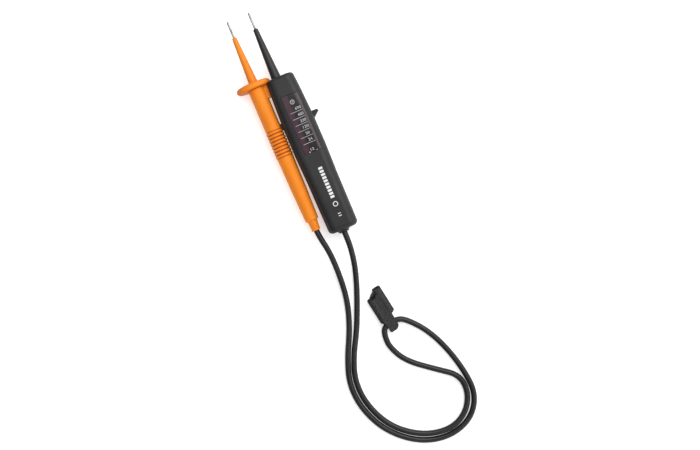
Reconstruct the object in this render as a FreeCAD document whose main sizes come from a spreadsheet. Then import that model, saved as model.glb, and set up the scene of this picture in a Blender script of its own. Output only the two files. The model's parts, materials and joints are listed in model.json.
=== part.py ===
"""Two-pole voltage tester: handle with LED scale, docked second probe, joining cord and tip cap.

Frame: millimetres, +Y along both probes towards their tips, +X away from the second probe,
+Z up out of the display. The tester lies on its back on z = 0.
"""
import FreeCAD
import Part
import Sketcher
import math
import os

V = FreeCAD.Vector

# Driving dimensions, all in millimetres unless a name ends in _deg.
DIMENSIONS = {
    # Places of the three main axes and levels.
    "handle_x": 9.3, "lance_x": -12.3, "nose_x": 6.7, "mid_level": 12.0, "tip_end": 99.0,
    # Handle outline: half widths at stations along the handle.
    "handle_bottom": -97.0, "handle_head": 39.3, "handle_depth": 24.0,
    "half_head": 11.8, "station_head": 24.0, "half_shoulder": 12.7, "station_mid": 0.0,
    "half_mid": 13.75, "station_belly": -27.0, "half_belly": 13.85, "station_waist": -50.0,
    "half_waist": 13.2, "half_foot": 12.8,
    "edge_round": 7.0, "foot_round": 4.0, "head_round": 2.8,
    # Shell walls.
    "side_wall": 2.6, "face_wall": 2.4, "end_wall": 3.0, "shoulder_wall": 4.4, "step_level": 5.0,
    # Finger barrier fins.
    "fin_reach": 19.0, "fin_top": 3.4, "fin_point": 1.8, "fin_foot": -2.4, "fin_thick": 7.0,
    "fin_corner": 0.6, "fin_root": 2.0,
    # Display: window, film, light guide and lamps.
    "window_left": -5.9, "window_right": 9.5, "window_low": -29.0, "window_high": 22.0,
    "window_thick": 2.2, "film_thick": 0.3, "film_inset": 0.1, "guide_thick": 4.5,
    "guide_inset": 0.5, "row_pitch": 5.6, "row_first": -19.0, "lamp_x": -2.2,
    "cell_across": 2.4, "cell_along": 2.2, "lamp_across": 1.6, "lamp_along": 0.8, "lamp_tall": 1.2,
    # Circuit board and its parts.
    "board_half": 8.5, "board_low": -38.0, "board_high": 27.0, "board_thick": 1.6,
    "post_radius": 1.5, "chip_left": -3.0, "chip_right": 4.0, "chip_low": 4.0, "chip_high": 14.0,
    "chip_thick": 1.6, "resistor_radius": 1.5, "resistor_long": 9.0, "resistor_x": -4.5,
    "resistor_pitch": 3.4, "resistor_low": -12.0, "thermistor_radius": 5.0,
    "thermistor_thick": 3.6, "thermistor_y": -24.0,
    # Case screws.
    "boss_radius": 3.0, "boss_skin": 0.6, "screw_radius": 1.2, "head_radius": 2.2,
    "head_thick": 1.4, "head_sunk": 0.8, "screw_grip": 6.0,
    # Steel tips, their terminals and the nose cones.
    "tip_radius": 1.0, "tip_bare": 15.0, "tip_point": 1.6, "tip_flat": 0.45, "tip_neck": 0.3,
    "shank_radius": 0.6, "shank_in": 8.0, "terminal_radius": 2.2, "terminal_long": 6.0,
    "terminal_skin": 2.0,
    "nose_root": 4.2, "nose_tip": 2.1, "nose_flange": 5.2, "nose_flange_long": 4.0,
    "lance_root": 3.85, "lance_nose_tip": 2.0, "cone_edge": 0.4,
    # Finger guard and docking tongue of the second probe.
    "guard_across": 14.7, "guard_up": 12.0, "guard_shift": -1.3, "guard_low": 37.9,
    "guard_thick": 5.2, "guard_round": 2.4, "guard_boss": 1.4, "guard_step": 0.9, "spigot": 6.8,
    "tongue_low": 27.2, "tongue_thick": 6.0, "tongue_root": 4.0, "tongue_end": -0.4,
    # Barrel of the second probe: radii and stations.
    "barrel_radius": 6.9, "rib_radius": 7.4, "rib_top": 0.0, "rib_pitch": 2.9, "rib_slope": 0.5,
    "rib_land": 1.0, "barrel_bore": 4.6, "barrel_foot": -80.0, "foot_radius": 5.65,
    "foot_edge": 0.8, "foot_bore": 4.0, "bore_step": -58.0,
    "collar_root": 4.15, "collar_end": 3.7, "collar_edge": 0.5, "collar_low": -88.8,
    "collar_plug": 4.0,
    # Parts inside the second probe.
    "lance_shank": 27.0, "resistor_body": 2.2, "resistor_foot": -2.0, "resistor_top": 14.0,
    "lead_radius": 0.4, "lead_foot": -10.0, "sleeve_skin": 0.7, "sleeve_past": 3.0,
    "crimp_radius": 3.9, "crimp_low": -75.9, "crimp_long": 3.9, "lance_cord_in": -71.0,
    # Cord, its gland and its clamp.
    "cord_radius": 2.45, "wire_radius": 0.8, "gland_x": 8.5, "gland_end": -99.0,
    "gland_tip": 4.2, "gland_rim": 5.8, "gland_neck": 3.9, "gland_flange": 5.2,
    "gland_flange_long": 2.0, "handle_cord_in": -84.5, "clamp_half": 6.0, "clamp_low": -91.4,
    "clamp_long": 3.0, "clamp_tall": 5.0,
    # Room between pieces that fit together.
    "slip": 0.05, "loose": 0.2, "dock_gap": 0.3, "dock_room": 0.5, "dock_deep": 10.0,
    "slot_past": 2.4, "room_low": -40.0, "room_high": 40.0, "thin_gap": 0.1,
    # Tip cap.
    "cap_x": 14.6, "cap_y": -183.7, "cap_z": 3.9, "cap_turn_deg": 9.0, "cap_tube": 3.85,
    "cap_spread": 4.05, "cap_bore": 2.2, "cap_bore_depth": 20.0, "cap_eye": 2.9,
    "cap_eye_mouth": 3.7, "cap_eye_lip": 5.0, "eye_long": 30.0,
    "cap_left_low": 1.0, "cap_left_high": 26.2, "cap_right_low": 6.7, "cap_right_high": 31.9,
    "cap_foot_slope": 1.5, "cap_foot_edge": 1.6, "cap_web": 3.5, "cap_tail_left": -4.7,
    "cap_tail_right": 4.4, "cap_tail_low": -7.1, "cap_tail_high": 9.0, "cap_tail_round": 4.0,
    "cap_tail_edge": 1.2, "gusset_left": -5.0, "gusset_right": 0.6, "gusset_thick": 1.2,
    "gusset_overlap": 2.0,
}
RIB_COUNT = 8
LED_ROWS = 8
RESISTOR_COUNT = 4
SCREWS = [(15.6, 32.0), (15.3, -44.5), (2.4, -84.0), (16.2, -84.0)]
BOARD_POSTS = [(3.0, -34.0), (15.6, -34.0), (3.0, 17.0), (15.6, 17.0)]

# Limits of the blocks that cut the handle in two halves.
WASTE_ACROSS = (-40.0, 60.0)
WASTE_ALONG = (-120.0, 60.0)

# How far a cutting tool runs past the face that it cuts, and how far joined solids overlap.
PAST = 1.0
LAP = 0.2

# Cord route from the handle gland, through the cap's eye, to the second probe's collar.
CORD_ROUTE = [
    (8.5, -99.0, 12.0), (8.5, -106.0, 12.0), (7.8, -115.0, 11.0), (5.4, -128.0, 6.6),
    (1.0, -142.0, 2.8), (-6.2, -160.0, 2.5), (-14.7, -179.0, 2.5), (-25.4, -197.3, 2.5),
    (-32.7, -217.0, 2.5), (-31.3, -240.0, 2.5), (-19.7, -264.2, 2.5), (1.8, -280.8, 2.5),
    (24.9, -285.4, 2.5), (42.0, -277.8, 2.5), (51.0, -262.0, 2.5), (49.2, -246.1, 2.5),
    (33.6, -234.5, 2.5), (13.3, -218.3, 2.5), (5.4, -203.0, 2.7), (5.0, -193.2, 3.5),
    (7.3, -184.85, 3.9), (20.8, -182.7, 3.9), (28.3, -187.8, 3.1), (39.9, -202.1, 2.5),
    (49.0, -222.2, 2.5), (55.0, -246.4, 2.5), (55.9, -266.8, 2.5), (44.4, -284.0, 2.5),
    (22.0, -290.7, 2.5), (-2.8, -284.8, 2.5), (-24.8, -266.1, 2.5), (-36.5, -241.8, 2.5),
    (-38.4, -218.0, 2.5), (-30.8, -196.8, 2.5), (-19.9, -176.0, 2.5), (-12.2, -154.0, 2.7),
    (-9.6, -132.0, 5.4), (-9.3, -110.5, 10.7), (-12.3, -93.6, 12.0), (-12.3, -88.8, 12.0),
]
# Inner wires, from where the cord or a tip ends to the board.
HANDLE_WIRE = [
    (8.5, -84.5, 12.0), (8.5, -80.5, 12.0), (7.6, -74.0, 11.4), (5.5, -66.0, 10.6),
    (4.0, -54.0, 10.6), (5.4, -44.0, 11.0), (6.6, -37.6, 11.8), (6.8, -34.6, 13.2),
    (6.8, -34.6, 15.4),
]
TIP_WIRE = [(6.7, 26.3, 12.0), (6.7, 24.2, 12.0), (6.7, 22.2, 13.2), (6.7, 22.2, 15.4)]

doc = FreeCAD.newDocument("voltage_tester")
sheet = doc.addObject("Spreadsheet::Sheet", "dims")
SUBPARTS = []


class Size:
    """A length that carries both its number and the sheet expression that gives it."""

    def __init__(self, number, text):
        self.number = float(number)
        self.text = text

    def joined(self, other, sign, number):
        return Size(number, "(%s %s %s)" % (self.text, sign, other.text))

    def __add__(self, other):
        other = size(other)
        return self.joined(other, "+", self.number + other.number)

    def __sub__(self, other):
        other = size(other)
        return self.joined(other, "-", self.number - other.number)

    def __mul__(self, other):
        other = size(other)
        return self.joined(other, "*", self.number * other.number)

    def __truediv__(self, other):
        other = size(other)
        return self.joined(other, "/", self.number / other.number)

    def __neg__(self):
        return size(0) - self


def size(value):
    """Wrap a plain number so that it mixes with sheet cells."""
    return value if isinstance(value, Size) else Size(value, "%.6g" % value)


def cell(alias):
    """The sheet cell with this alias."""
    return Size(DIMENSIONS[alias], "dims." + alias)


def fill_sheet():
    """Write every driving dimension to the sheet, one row each, with its alias."""
    for row, (alias, number) in enumerate(DIMENSIONS.items(), start=1):
        sheet.set("A%d" % row, alias)
        sheet.set("B%d" % row, str(number))
        sheet.setAlias("B%d" % row, alias)
    doc.recompute()


def bind(thing, prop, value):
    """Let the sheet drive a property."""
    thing.setExpression(prop, size(value).text)


# ---------------------------------------------------------------- PartDesign helpers

def new_body(label):
    body = doc.addObject("PartDesign::Body", label)
    body.Label = label
    return body


def new_sketch(body, role, height=0.0):
    """A sketch on one of the body's own origin planes, lifted along the plane's normal."""
    plane = [item for item in body.Origin.OriginFeatures if item.Role == role][0]
    sketch = body.newObject("Sketcher::SketchObject", body.Name + "_sketch")
    sketch.AttachmentSupport = [(plane, "")]
    sketch.MapMode = "FlatFace"
    bind(sketch, "AttachmentOffset.Base.z", height)
    return sketch


def pin_corner(sketch, line, spot):
    """Fix the start of a line by its distances from the sketch's origin."""
    for kind, value in zip(("DistanceX", "DistanceY"), spot):
        distance = Sketcher.Constraint(kind, -1, 1, line, 1, value.number)
        index = sketch.addConstraint(distance)
        sketch.setExpression("Constraints[%d]" % index, value.text)


def polygon(sketch, spots):
    """A closed straight-sided outline whose corners follow the sheet."""
    spots = [(size(across), size(along)) for across, along in spots]
    count = len(spots)
    for index, spot in enumerate(spots):
        after = spots[(index + 1) % count]
        start = V(spot[0].number, spot[1].number, 0)
        sketch.addGeometry(Part.LineSegment(start, V(after[0].number, after[1].number, 0)), False)
    for index in range(count):
        sketch.addConstraint(Sketcher.Constraint("Coincident", index, 2, (index + 1) % count, 1))
    for index, spot in enumerate(spots):
        pin_corner(sketch, index, spot)
    return sketch


def pad(body, sketch, length, both_ways=False):
    feature = body.newObject("PartDesign::Pad", body.Name + "_pad")
    feature.Profile = sketch
    bind(feature, "Length", length)
    feature.Midplane = both_ways
    doc.recompute()
    return feature


def revolve(body, sketch):
    """Turn a profile about the sketch's vertical axis, the body's own Y."""
    feature = body.newObject("PartDesign::Revolution", body.Name + "_turned")
    feature.Profile = sketch
    feature.ReferenceAxis = (sketch, ["V_Axis"])
    feature.Angle = 360
    doc.recompute()
    return feature


def fillet(body, radius, wanted):
    """Round the edges of the body's tip whose shape passes the test."""
    base = body.Tip
    names = []
    for index, edge in enumerate(base.Shape.Edges, start=1):
        if wanted(edge):
            names.append("Edge%d" % index)
    feature = body.newObject("PartDesign::Fillet", body.Name + "_round")
    feature.Base = (base, names)
    bind(feature, "Radius", radius)
    doc.recompute()
    return feature


def turned(label, profile, place=None):
    """A round piece: its profile is (radius, along) pairs about its own Y axis."""
    body = new_body(label)
    revolve(body, polygon(new_sketch(body, "XY_Plane"), profile))
    if place is not None:
        put(body, *place)
    return body


# ---------------------------------------------------------------- Part helpers

def put(thing, across, along, up):
    for axis, value in (("x", across), ("y", along), ("z", up)):
        bind(thing, "Placement.Base." + axis, value)
    return thing


def block(name, across, along, up):
    """A box between two limits on each axis."""
    box = doc.addObject("Part::Box", name)
    spans = (across, along, up)
    for prop, (low, high) in zip(("Length", "Width", "Height"), spans):
        bind(box, prop, size(high) - size(low))
    return put(box, *[low for low, high in spans])


def rod(name, radius, length, place, turn=None):
    """A cylinder along Z, or along another axis when it is turned."""
    cylinder = doc.addObject("Part::Cylinder", name)
    bind(cylinder, "Radius", radius)
    bind(cylinder, "Height", length)
    if turn is not None:
        cylinder.Placement = FreeCAD.Placement(V(0, 0, 0), turn)
    return put(cylinder, *place)


ALONG_Y = FreeCAD.Rotation(V(1, 0, 0), -90)
ALONG_X = FreeCAD.Rotation(V(0, 1, 0), 90)


def axle(name, radius, x, low, high):
    """A cylinder along Y between two stations, at mid level."""
    low = size(low)
    return rod(name, radius, size(high) - low, (x, low, cell("mid_level")), ALONG_Y)


def fuse(name, pieces):
    joined = doc.addObject("Part::MultiFuse", name)
    joined.Shapes = pieces
    joined.Refine = True
    return joined


def cut(name, base, tools):
    """Take the tools out of the base and check that material went."""
    result = doc.addObject("Part::Cut", name)
    result.Base = base
    result.Tool = tools[0] if len(tools) == 1 else fuse(name + "_tools", tools)
    result.Refine = True
    doc.recompute()
    if result.Shape.Volume > base.Shape.Volume - 0.01:
        raise ValueError(name + ": the cut removed nothing")
    return result


def common(name, first, second):
    result = doc.addObject("Part::Common", name)
    result.Base = first
    result.Tool = second
    doc.recompute()
    return result


def keep(thing):
    """Mark an object as a finished sub-part."""
    SUBPARTS.append(thing)
    return thing


# ---------------------------------------------------------------- tubes along a route

def rounded_route(points):
    """Straight runs joined by tangent arcs, each arc as large as its two runs allow."""
    spots = [V(*point) for point in points]
    edges = []
    radii = []
    start = spots[0]
    for before, corner, after in zip(spots, spots[1:], spots[2:]):
        back = (before - corner).normalize()
        ahead = (after - corner).normalize()
        turn = math.pi - back.getAngle(ahead)
        reach = 0.45 * min((before - corner).Length, (after - corner).Length)
        radius = reach / math.tan(turn / 2)
        inward = (back + ahead).normalize()
        middle = corner + inward * (radius / math.cos(turn / 2) - radius)
        enter = corner + back * reach
        leave = corner + ahead * reach
        edges.append(Part.LineSegment(start, enter).toShape())
        edges.append(Part.Arc(enter, middle, leave).toShape())
        radii.append(radius)
        start = leave
    edges.append(Part.LineSegment(start, spots[-1]).toShape())
    return Part.Wire(edges), radii


def tube(label, points, radius):
    """A round tube swept along a rounded route, checked against section times length."""
    path, radii = rounded_route(points)
    first = path.Edges[0]
    heading = first.tangentAt(first.FirstParameter)
    section = Part.Wire([Part.Circle(V(*points[0]), heading, radius).toShape()])
    solid = path.makePipeShell([section], True, False)
    expected = math.pi * radius ** 2 * path.Length
    if abs(solid.Volume - expected) > 0.02 * expected:
        raise ValueError(label + ": swept volume is off")
    feature = doc.addObject("Part::Feature", label)
    feature.Shape = solid
    feature.Placement = FreeCAD.Placement()
    print("%s: length %.1f, radii %s" % (label, path.Length, ["%.1f" % r for r in radii]))
    return keep(feature)


# ---------------------------------------------------------------- handle of the main probe

def long_edge(edge):
    """True for the edges that run along the handle, on its front and back faces."""
    run = edge.Vertexes[-1].Point - edge.Vertexes[0].Point
    return abs(run.y) > 10 and abs(run.z) < 0.1


def edge_at(alias):
    """A test for an edge that lies whole in the plane y = this dimension."""
    along = DIMENSIONS[alias]

    def lies_there(edge):
        box = edge.BoundBox
        return abs(box.YMin - along) < 1e-4 and abs(box.YMax - along) < 1e-4

    return lies_there


def fin_outline(side):
    """One finger barrier fin, pointing to the right for side 1 and to the left for -1."""
    root = (cell("half_mid") - cell("fin_root")) * side
    return [
        (root, cell("fin_top")),
        ((cell("fin_reach") - cell("fin_corner")) * side, cell("fin_top")),
        (cell("fin_reach") * side, cell("fin_point")),
        (cell("half_mid") * side, cell("fin_foot")),
        (root, cell("fin_foot")),
    ]


def handle_solid(label):
    """The handle's outer shape: tapered outline, round long edges, fins on both sides."""
    body = new_body(label)
    mid = cell("mid_level")
    right = [
        (cell("half_foot"), cell("handle_bottom")),
        (cell("half_waist"), cell("station_waist")),
        (cell("half_belly"), cell("station_belly")),
        (cell("half_mid"), cell("station_mid")),
        (cell("half_shoulder"), cell("station_head")),
        (cell("half_head"), cell("handle_head")),
    ]
    left = [(-half, along) for half, along in reversed(right)]
    outline = polygon(new_sketch(body, "XY_Plane", mid), right + left)
    pad(body, outline, cell("handle_depth"), True)
    fillet(body, cell("edge_round"), long_edge)
    fillet(body, cell("foot_round"), edge_at("handle_bottom"))
    fillet(body, cell("head_round"), edge_at("handle_head"))
    for side in (-1, 1):
        fin = polygon(new_sketch(body, "XY_Plane", mid), fin_outline(side))
        pad(body, fin, cell("fin_thick"), True)
    return put(body, cell("handle_x"), 0, 0)


def cavity(label, inset, drop):
    """The hollow inside the shells: the outline less a wall, from mid-level outwards."""
    body = new_body(label)
    inner = [
        (cell("half_foot") - inset, cell("handle_bottom") + cell("end_wall")),
        (cell("half_waist") - inset, cell("station_waist")),
        (cell("half_belly") - inset, cell("station_belly")),
        (cell("half_mid") - inset, cell("station_mid")),
        (cell("half_shoulder") - inset, cell("station_head")),
        (cell("half_head") - inset, cell("handle_head") - cell("end_wall")),
    ]
    outline = inner + [(-half, along) for half, along in reversed(inner)]
    pad(body, polygon(new_sketch(body, "XY_Plane", cell("mid_level")), outline), drop * 2, True)
    return put(body, cell("handle_x"), 0, 0)


def oval_disc(name, grow, low, thick):
    """An oval plate across the second probe, as large as its finger guard plus grow."""
    edge = doc.addObject("Part::Ellipse", name + "_edge")
    bind(edge, "MajorRadius", cell("guard_across") + grow)
    bind(edge, "MinorRadius", cell("guard_up") + grow)
    disc = doc.addObject("Part::Extrusion", name)
    disc.Base = edge
    disc.Dir = V(0, 0, -1)
    bind(disc, "LengthFwd", thick)
    disc.Solid = True
    disc.Placement = FreeCAD.Placement(V(0, 0, 0), FreeCAD.Rotation(V(1, 0, 0), 90))
    put(disc, cell("lance_x") + cell("guard_shift"), low, cell("mid_level"))
    doc.recompute()
    return disc


def tongue_block(name, grow, right, high):
    """The docking tongue's straight bar, larger all round by grow when it makes the slot."""
    mid = cell("mid_level")
    half = cell("tongue_thick") / 2 + grow
    across = (cell("lance_x") + cell("tongue_root"), right)
    return block(name, across, (cell("tongue_low") - grow, high), (mid - half, mid + half))


def handle_tools(name):
    """Everything that is cut from both shells: hollow, end holes, dock and lance clearance."""
    inside = cell("handle_depth") / 2 - cell("face_wall")
    head = cell("handle_head")
    foot = cell("handle_bottom")
    wall = cell("end_wall")
    slot_right = cell("tongue_end") + cell("slot_past")
    return [
        cavity(name + "_wide", cell("side_wall"), cell("step_level")),
        cavity(name + "_deep", cell("shoulder_wall"), inside),
        axle(name + "_nose_hole", cell("nose_root") + cell("slip"), cell("nose_x"),
             head - wall - PAST, head + PAST),
        axle(name + "_gland_hole", cell("gland_neck") + cell("slip"), cell("gland_x"),
             foot - PAST, foot + wall + PAST),
        oval_disc(name + "_dock", cell("dock_room"), cell("guard_low") - cell("dock_gap"),
                  cell("dock_deep")),
        tongue_block(name + "_slot", cell("loose"), slot_right, head + PAST),
        axle(name + "_lance_room", cell("rib_radius") + cell("loose"), cell("lance_x"),
             cell("room_low"), cell("room_high")),
    ]


def posts(name, radius, low, high, places):
    """Upright round bars between two levels."""
    return [rod("%s_%d" % (name, index), radius, size(high) - size(low), (x, y, low))
            for index, (x, y) in enumerate(places)]


def window_block(name, low, high, inset=0.0):
    """A block with the display window's outline, less an inset."""
    x = cell("handle_x")
    across = (x + cell("window_left") + inset, x + cell("window_right") - inset)
    along = (cell("window_low") + inset, cell("window_high") - inset)
    return block(name, across, along, (low, high))


def film_level():
    return cell("handle_depth") - cell("window_thick") - cell("film_thick")


def board_top():
    return film_level() - cell("guide_thick")


def front_shell():
    """Upper half of the handle, with the display opening and four screw bosses."""
    mid = cell("mid_level")
    depth = cell("handle_depth")
    inside = depth - cell("face_wall")
    lower = block("front_waste", WASTE_ACROSS, WASTE_ALONG, (-PAST, mid))
    opening = window_block("front_opening", board_top(), depth + PAST)
    hollow = cut("front_hollow", handle_solid("front_outer"),
                 [lower, opening] + handle_tools("front"))
    bosses = posts("front_boss", cell("boss_radius"), mid, inside + LAP, SCREWS)
    body = fuse("front_with_bosses", [hollow] + bosses)
    pilot_top = mid + cell("screw_grip") + PAST
    pilots = posts("front_pilot", cell("screw_radius"), mid - PAST, pilot_top, SCREWS)
    return keep(cut("handle_front_shell", body, pilots))


def clamp_block(name, low, high):
    """A bar across the cord, just inside the handle's foot."""
    x = cell("gland_x")
    across = (x - cell("clamp_half"), x + cell("clamp_half"))
    along = (cell("clamp_low"), cell("clamp_low") + cell("clamp_long"))
    return block(name, across, along, (low, high))


def cord_groove(name):
    """Room for the cord through the clamp and its saddle."""
    low = cell("clamp_low")
    return axle(name, cell("cord_radius") + cell("slip"), cell("gland_x"), low - PAST,
                low + cell("clamp_long") + PAST)


def rear_shell():
    """Lower half of the handle: flat back, screw wells, board posts and a cord saddle."""
    mid = cell("mid_level")
    inside = cell("face_wall")
    upper = block("rear_waste", WASTE_ACROSS, WASTE_ALONG, (mid, cell("handle_depth") + PAST))
    hollow = cut("rear_hollow", handle_solid("rear_outer"), [upper] + handle_tools("rear"))
    boss = cell("boss_radius") + cell("boss_skin")
    bosses = posts("rear_boss", boss, inside - LAP, mid, SCREWS)
    under_board = board_top() - cell("board_thick")
    stands = posts("rear_post", cell("post_radius"), inside - LAP, under_board, BOARD_POSTS)
    saddle = clamp_block("rear_saddle", inside - LAP, mid)
    body = fuse("rear_with_bosses", [hollow, saddle] + bosses + stands)
    well_top = cell("head_sunk") + cell("head_thick") + cell("thin_gap")
    wells = posts("rear_well", cell("head_radius") + cell("loose"), -PAST, well_top, SCREWS)
    holes = posts("rear_hole", cell("screw_radius") + cell("loose"), -PAST, mid + PAST, SCREWS)
    groove = cord_groove("rear_groove")
    return keep(cut("handle_rear_shell", body, wells + holes + [groove]))


def light_guide(lamp_x, rows):
    """Black frame under the film, with one cell round each lamp."""
    across = (lamp_x - cell("cell_across"), lamp_x + cell("cell_across"))
    levels = (board_top() - PAST, film_level() + PAST)
    cells = []
    for index, row in enumerate(rows):
        along = (row - cell("cell_along"), row + cell("cell_along"))
        cells.append(block("guide_cell_%d" % index, across, along, levels))
    guide = window_block("guide_block", board_top(), film_level(), cell("guide_inset"))
    return keep(cut("light_guide", guide, cells))


def lamps(lamp_x, rows):
    """One flat LED per row, on the board."""
    across = (lamp_x - cell("lamp_across"), lamp_x + cell("lamp_across"))
    levels = (board_top(), board_top() + cell("lamp_tall"))
    bodies = []
    for index, row in enumerate(rows):
        along = (row - cell("lamp_along"), row + cell("lamp_along"))
        bodies.append(block("lamp_%d" % index, across, along, levels))
    return keep(fuse("indicator_leds", bodies))


def display():
    """Window, printed film, light guide, lamps and circuit board, one on the other."""
    depth = cell("handle_depth")
    film_top = depth - cell("window_thick")
    window_room = window_block("window_room", film_top, depth + PAST)
    keep(common("display_window", handle_solid("window_outer"), window_room))
    keep(window_block("scale_film", film_level(), film_top, cell("film_inset")))
    x = cell("handle_x")
    rows = [cell("row_first") + cell("row_pitch") * index for index in range(LED_ROWS)]
    light_guide(x + cell("lamp_x"), rows)
    lamps(x + cell("lamp_x"), rows)
    across = (x - cell("board_half"), x + cell("board_half"))
    along = (cell("board_low"), cell("board_high"))
    under_board = board_top() - cell("board_thick")
    keep(block("circuit_board", across, along, (under_board, board_top())))


def board_parts():
    """Parts soldered under the board."""
    under = board_top() - cell("board_thick")
    x = cell("handle_x")
    chip_across = (x + cell("chip_left"), x + cell("chip_right"))
    chip_along = (cell("chip_low"), cell("chip_high"))
    keep(block("control_chip", chip_across, chip_along, (under - cell("chip_thick"), under)))
    radius = cell("resistor_radius")
    resistors = []
    for index in range(RESISTOR_COUNT):
        place = (x + cell("resistor_x") + cell("resistor_pitch") * index, cell("resistor_low"),
                 under - radius)
        resistors.append(rod("resistor_%d" % index, radius, cell("resistor_long"), place, ALONG_Y))
    keep(fuse("series_resistors", resistors))
    thick = cell("thermistor_thick")
    keep(rod("load_thermistor", cell("thermistor_radius"), thick,
             (x, cell("thermistor_y"), under - thick)))


def case_screws():
    """Four screws put in from the back."""
    seat = cell("head_sunk") + cell("head_thick")
    heads = posts("screw_head", cell("head_radius"), cell("head_sunk"), seat, SCREWS)
    shank_top = cell("mid_level") + cell("screw_grip")
    shanks = posts("screw_shank", cell("screw_radius"), seat - PAST, shank_top, SCREWS)
    return keep(fuse("case_screws", heads + shanks))


def main_nose():
    """Nose cone held behind the handle's end wall, its steel tip, terminal and inner wire."""
    place = (cell("nose_x"), 0, cell("mid_level"))
    head = cell("handle_head")
    cone_end = cell("tip_end") - cell("tip_bare")
    inner_wall = head - cell("end_wall")
    flange_low = inner_wall - cell("nose_flange_long")
    flange_high = inner_wall - cell("slip")
    bore = cell("shank_radius")
    keep(turned("nose_sleeve", [
        (bore, flange_low), (cell("nose_flange"), flange_low), (cell("nose_flange"), flange_high),
        (cell("nose_root"), flange_high), (cell("nose_root"), head),
        (cell("nose_tip"), cone_end - cell("cone_edge")),
        (cell("nose_tip") - cell("cone_edge"), cone_end), (bore, cone_end),
    ], place))
    shank_end = inner_wall - cell("shank_in")
    keep(steel_tip("main_test_tip", shank_end, place))
    keep(tip_terminal("main_tip_terminal", shank_end, place))
    tube("main_tip_lead", TIP_WIRE, DIMENSIONS["wire_radius"])


def steel_tip(label, start, place):
    """A round steel rod with a thinner shank in the plastic and a short blunt point."""
    radius = cell("tip_radius")
    shank = cell("shank_radius")
    end = cell("tip_end")
    wall_low = end - cell("tip_bare") + cell("tip_neck")
    return turned(label, [
        (0, start), (shank, start), (shank, wall_low), (radius, wall_low),
        (radius, end - cell("tip_point")), (cell("tip_flat"), end), (0, end),
    ], place)


def tip_terminal(label, shank_end, place):
    """Brass cup on the inner end of a steel tip."""
    bore = cell("shank_radius")
    outer = cell("terminal_radius")
    low = shank_end - cell("terminal_skin")
    high = low + cell("terminal_long")
    return turned(label, [
        (0, low), (outer, low), (outer, high), (bore, high), (bore, shank_end), (0, shank_end),
    ], place)


def handle_cord_entry():
    """Gland in the handle's foot, the cord's inner end, its clamp and one inner wire."""
    foot = cell("handle_bottom")
    end = cell("gland_end")
    seat = foot + cell("end_wall")
    rim = seat + cell("gland_flange_long")
    jacket = cell("cord_radius")
    mid = cell("mid_level")
    keep(turned("handle_gland", [
        (jacket, end), (cell("gland_tip"), end), (cell("gland_rim"), foot),
        (cell("gland_neck"), foot), (cell("gland_neck"), seat), (cell("gland_flange"), seat),
        (cell("gland_flange"), rim), (jacket, rim),
    ], (cell("gland_x"), 0, mid)))
    keep(axle("handle_cord_end", jacket, cell("gland_x"), end, cell("handle_cord_in")))
    bar = clamp_block("clamp_bar", mid, mid + cell("clamp_tall"))
    keep(cut("cord_clamp", bar, [cord_groove("clamp_groove")]))
    tube("handle_inner_lead", HANDLE_WIRE, DIMENSIONS["wire_radius"])


# ---------------------------------------------------------------- second probe

def lance_core():
    """The turned middle of the lance's nose: spigot, boss and long cone."""
    low = cell("guard_low")
    high = low + cell("guard_thick")
    spigot = cell("barrel_bore") - cell("slip")
    cone_end = cell("tip_end") - cell("tip_bare")
    return turned("lance_core", [
        (0, low - cell("spigot")), (spigot, low - cell("spigot")), (spigot, low + PAST),
        (cell("lance_root") + cell("guard_step"), high),
        (cell("lance_root"), high + cell("guard_boss")),
        (cell("lance_nose_tip"), cone_end - cell("cone_edge")),
        (cell("lance_nose_tip") - cell("cone_edge"), cone_end), (0, cone_end),
    ], (cell("lance_x"), 0, cell("mid_level")))


def lance_nose():
    """Cone, oval finger guard, spigot and docking tongue, moulded in one."""
    low = cell("guard_low")
    disc = oval_disc("guard_disc", 0, low, cell("guard_thick"))
    guard = doc.addObject("Part::Fillet", "guard_round")
    guard.Base = disc
    rim = [index for index, edge in enumerate(disc.Shape.Edges, start=1) if edge.Closed]
    guard.Edges = [(index, DIMENSIONS["guard_round"], DIMENSIONS["guard_round"]) for index in rim]
    tongue = tongue_block("dock_tongue", 0, cell("tongue_end"), low + PAST)
    room = axle("barrel_room", cell("barrel_radius") + cell("slip"), cell("lance_x"),
                low - cell("tongue_low"), low)
    blade = cut("dock_blade", tongue, [room])
    solid = fuse("lance_nose_solid", [lance_core(), guard, blade])
    bore_low = low - cell("spigot") - PAST
    bore = axle("lance_nose_bore", cell("shank_radius"), cell("lance_x"), bore_low, cell("tip_end"))
    return keep(cut("lance_nose", solid, [bore]))


def rib_profile():
    """Grip ribs from top to bottom, each a low flat-topped ridge."""
    spots = []
    slope = cell("rib_slope")
    for index in range(RIB_COUNT):
        top = cell("rib_top") - cell("rib_pitch") * index
        land = top - slope - cell("rib_land")
        spots += [
            (cell("barrel_radius"), top), (cell("rib_radius"), top - slope),
            (cell("rib_radius"), land), (cell("barrel_radius"), land - slope),
        ]
    return spots


# Stations of the barrel's taper below the ribs, as (radius lost, y) pairs.
BARREL_TAPER = [(0.2, -34), (0.4, -50), (0.9, -67)]


def lance_barrel():
    """Hollow ribbed barrel that tapers to its foot."""
    top = cell("guard_low")
    foot = cell("barrel_foot")
    step = cell("bore_step")
    taper = [(cell("barrel_radius") - lost, along) for lost, along in BARREL_TAPER]
    edge = cell("foot_edge")
    outer = [(cell("barrel_radius"), top)] + rib_profile() + taper + [
        (cell("foot_radius"), foot + edge), (cell("foot_radius") - edge, foot),
    ]
    inner = [
        (cell("foot_bore"), foot), (cell("foot_bore"), step),
        (cell("barrel_bore"), step + PAST), (cell("barrel_bore"), top),
    ]
    return keep(turned("lance_barrel", outer + inner, (cell("lance_x"), 0, cell("mid_level"))))


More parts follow.
